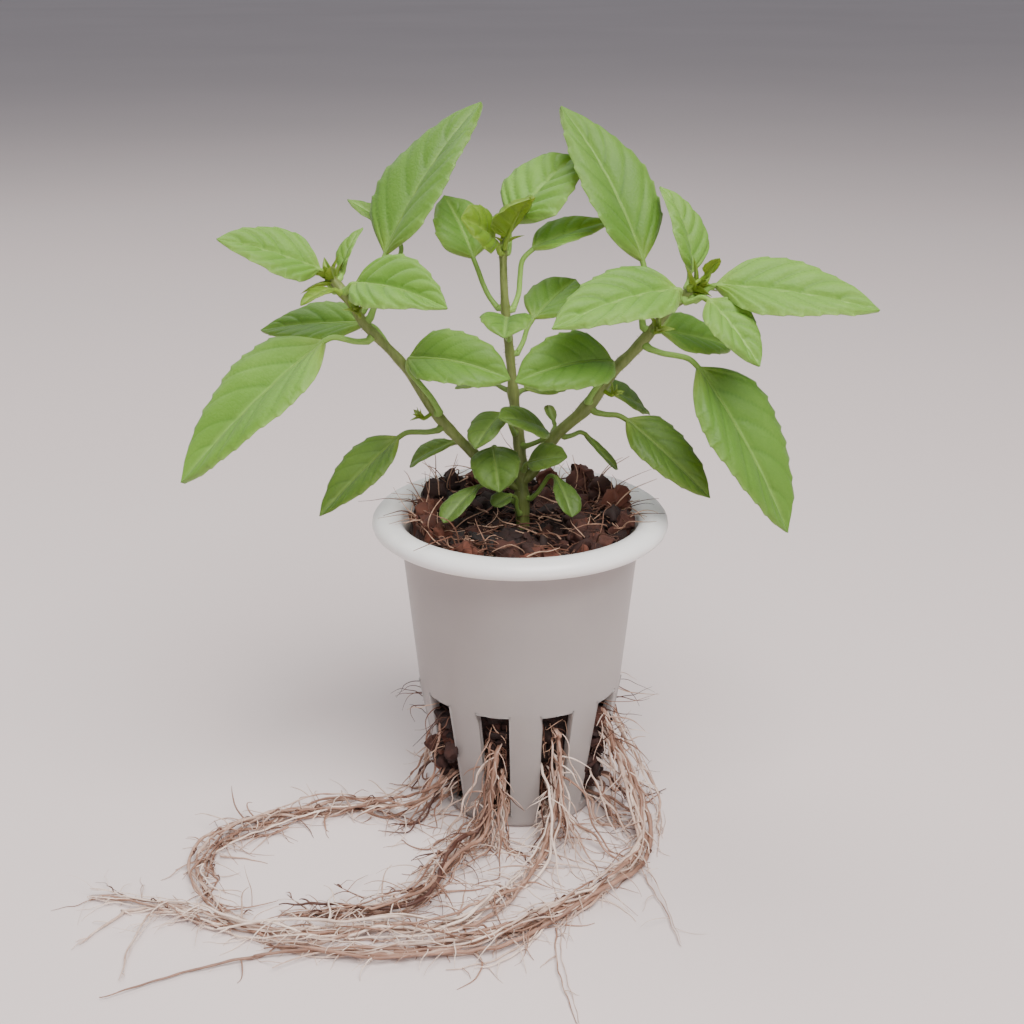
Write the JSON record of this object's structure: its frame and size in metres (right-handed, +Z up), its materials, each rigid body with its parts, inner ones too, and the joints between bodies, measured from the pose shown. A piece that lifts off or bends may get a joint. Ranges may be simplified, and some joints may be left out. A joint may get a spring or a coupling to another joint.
{
  "type": "potted basil plant",
  "caption": "Branching basil seedling rooted in coir in a slotted, wide-lipped net cup, with its roots grown out of the slots and lying on the ground.",
  "frame": {"origin": "centre of the net cup's base, on the ground", "axes": "+Z up, the front of the cup towards -Y, the spread of the side branches along X"},
  "size_m": [0.1566, 0.1128, 0.1484],
  "materials": {
    "cup_plastic": "milky moulded plastic, satin",
    "coir": "coarse dark coconut fibre",
    "stem": "green living stem, finely haired",
    "leaf_light": "living leaf, satin, light green",
    "leaf_mid": "living leaf, satin, mid green",
    "leaf_dark": "living leaf, satin, dark green",
    "leaf_young": "young leaf, yellow green",
    "root": "matt, reddish brown to cream",
    "root_fine": "matt, cream"
  },
  "bodies": {
    "root": {"bud_left_low": "leaf_young", "bud_left_mid": "leaf_young", "bud_right_low": "leaf_young", "bud_right_mid": "leaf_young", "coir_plug": "coir", "leaf_base_front": "leaf_mid", "leaf_base_inner": "leaf_dark", "leaf_base_left": "leaf_mid", "leaf_base_right": "leaf_mid", "leaf_base_small": "leaf_mid", "leaf_centre_left": "leaf_mid", "leaf_centre_low_far": "leaf_dark", "leaf_centre_low_left": "leaf_dark", "leaf_centre_low_right": "leaf_dark", "leaf_centre_low_west": "leaf_dark", "leaf_centre_mid_back": "leaf_mid", "leaf_centre_mid_front": "leaf_mid", "leaf_centre_right": "leaf_mid", "leaf_centre_top_back": "leaf_light", "leaf_centre_top_front": "leaf_young", "leaf_centre_top_young": "leaf_young", "leaf_left_low_back": "leaf_dark", "leaf_left_low_inner": "leaf_mid", "leaf_left_low_outer": "leaf_dark", "leaf_left_mid_back": "leaf_mid", "leaf_left_mid_outer": "leaf_light", "leaf_left_mid_tuck": "leaf_mid", "leaf_left_mid_up": "leaf_light", "leaf_left_top_front": "leaf_light", "leaf_left_top_inner": "leaf_light", "leaf_left_top_outer": "leaf_light", "leaf_left_top_small": "leaf_young", "leaf_right_base_inner": "leaf_dark", "leaf_right_base_outer": "leaf_dark", "leaf_right_low_back": "leaf_dark", "leaf_right_low_inner": "leaf_mid", "leaf_right_low_outer": "leaf_dark", "leaf_right_mid_back": "leaf_mid", "leaf_right_mid_outer": "leaf_mid", "leaf_right_mid_up": "leaf_light", "leaf_right_top_back": "leaf_light", "leaf_right_top_down": "leaf_light", "leaf_right_top_front": "leaf_light", "leaf_right_top_outer": "leaf_light", "leaf_right_top_young": "leaf_young", "left_branch": "stem", "main_stem": "stem", "net_cup": "cup_plastic", "right_branch": "stem", "root_front_left": "root", "root_front_right": "root", "root_left_loop": "root", "root_right": "root", "root_tail_arch": "root_fine", "root_tail_far_left": "root_fine", "root_tail_front": "root_fine", "root_tail_left": "root_fine", "root_tail_low_front": "root_fine", "root_tail_low_left": "root_fine", "root_tail_right": "root_fine"}
  },
  "joints": []
}
